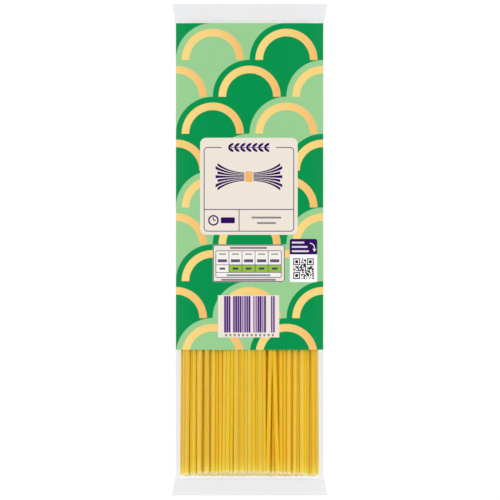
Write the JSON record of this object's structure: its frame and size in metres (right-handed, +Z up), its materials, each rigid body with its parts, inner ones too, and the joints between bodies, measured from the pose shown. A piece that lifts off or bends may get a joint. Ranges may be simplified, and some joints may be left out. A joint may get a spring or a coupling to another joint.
{
  "type": "pasta packet",
  "caption": "Film packet of long pasta lying on its back: a printed bag with a clear window at its foot where the straight strands show, and flat clear seals at both ends.",
  "frame": {"origin": "middle of the packet's outline, on the surface that its back rests on", "axes": "+Y towards the packet's head, +X across it to the right as its front is read, +Z up out of its front"},
  "size_m": [0.0886, 0.28, 0.024],
  "materials": {
    "printed_film": "satin printed packaging film in two greens with yellow, cream and purple",
    "spaghetti": "dry durum wheat pasta, smooth and slightly waxy",
    "clear_film": "clear glossy packaging film"
  },
  "bodies": {
    "root": {"film_bag": "printed_film", "spaghetti": "spaghetti"}
  },
  "joints": []
}
